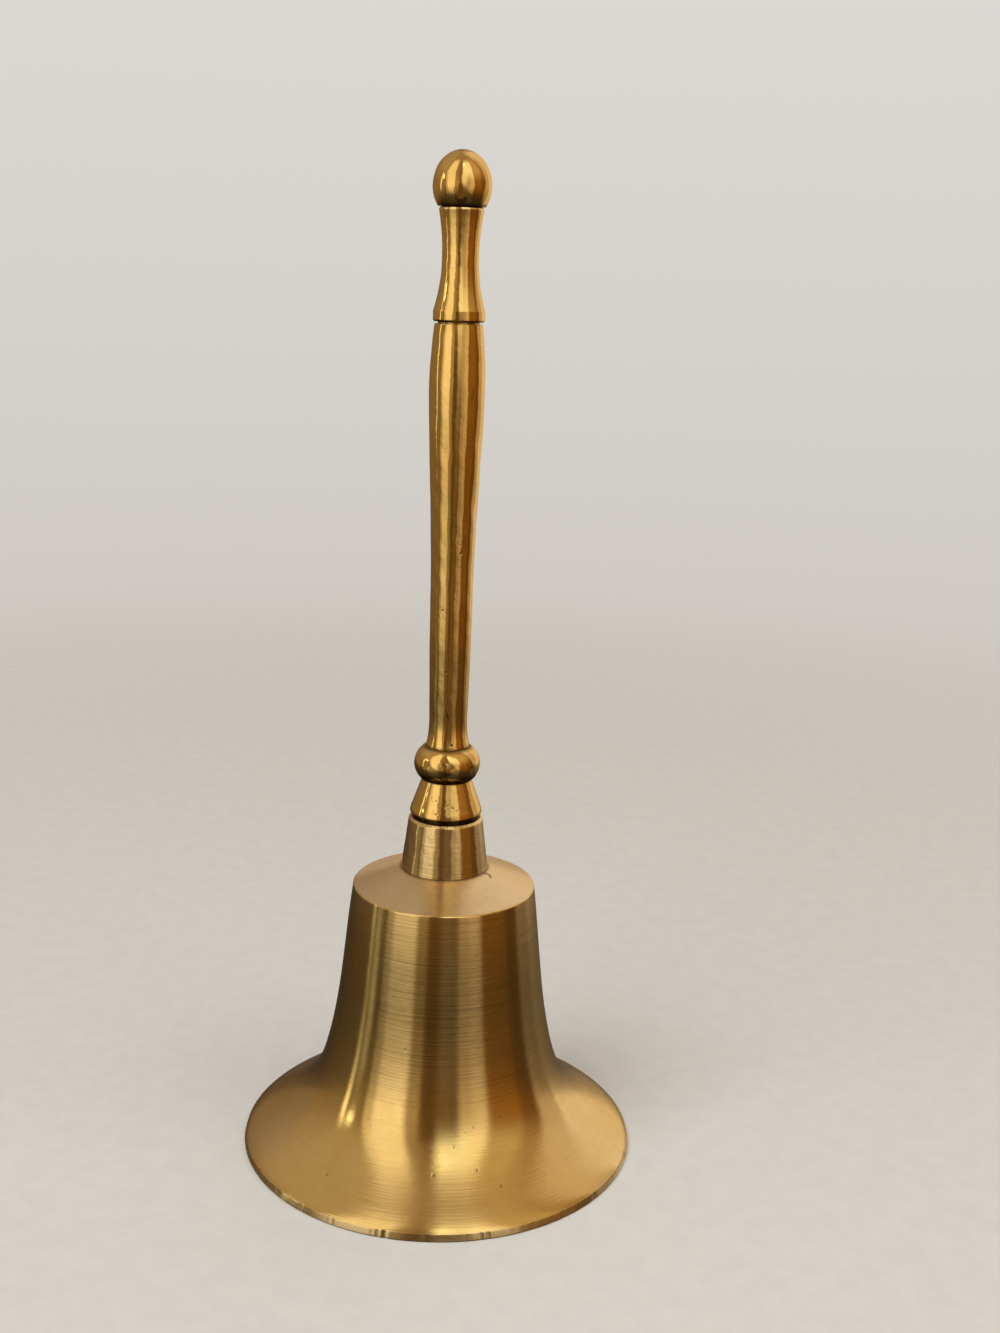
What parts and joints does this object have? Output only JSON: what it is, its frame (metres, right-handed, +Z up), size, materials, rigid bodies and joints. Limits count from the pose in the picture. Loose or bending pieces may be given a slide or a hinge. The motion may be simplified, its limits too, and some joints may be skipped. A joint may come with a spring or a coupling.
{
  "type": "hand bell",
  "caption": "Turned brass hand bell with a long baluster handle and a clapper that swings inside the flared cup.",
  "frame": {"origin": "on the bell's axis in the plane of the mouth, where the bell stands", "axes": "+Z up the axis towards the finial, +X and +Y across the mouth; the clapper's main swing is along X"},
  "size_m": [0.0632, 0.0632, 0.155],
  "materials": {
    "cup_brass": "satin, turned, with fine rings round the wall",
    "handle_brass": "polished, with small casting pits",
    "hardware_brass": "as turned, slightly tarnished",
    "clapper_brass": "tumbled, with strike marks",
    "hardware_steel": "drawn wire and rolled thread, dulled"
  },
  "bodies": {
    "bell": {"bell_cup": "cup_brass", "crown_collar": "cup_brass", "neck_cone": "handle_brass", "bead_ring": "handle_brass", "handle_grip": "handle_brass", "handle_waist": "handle_brass", "finial_ball": "handle_brass", "tie_rod": "hardware_steel", "crown_washer": "hardware_brass", "crown_nut": "hardware_brass", "hanger_eye": "hardware_brass"},
    "clapper_link": {"clapper_ring": "hardware_steel"},
    "clapper": {"clapper_shank": "hardware_steel", "clapper_ball": "clapper_brass"}
  },
  "joints": [
    {"name": "clapper_swing", "type": "hinge", "parent": "bell", "child": "clapper_link", "pos_m": [0, 0, 0.0342], "axis": [0, 1, 0], "range_deg": [-28, 28]},
    {"name": "clapper_sway", "type": "hinge", "parent": "clapper_link", "child": "clapper", "pos_m": [0, 0, 0.03115], "axis": [1, 0, 0], "range_deg": [-10, 10]}
  ]
}
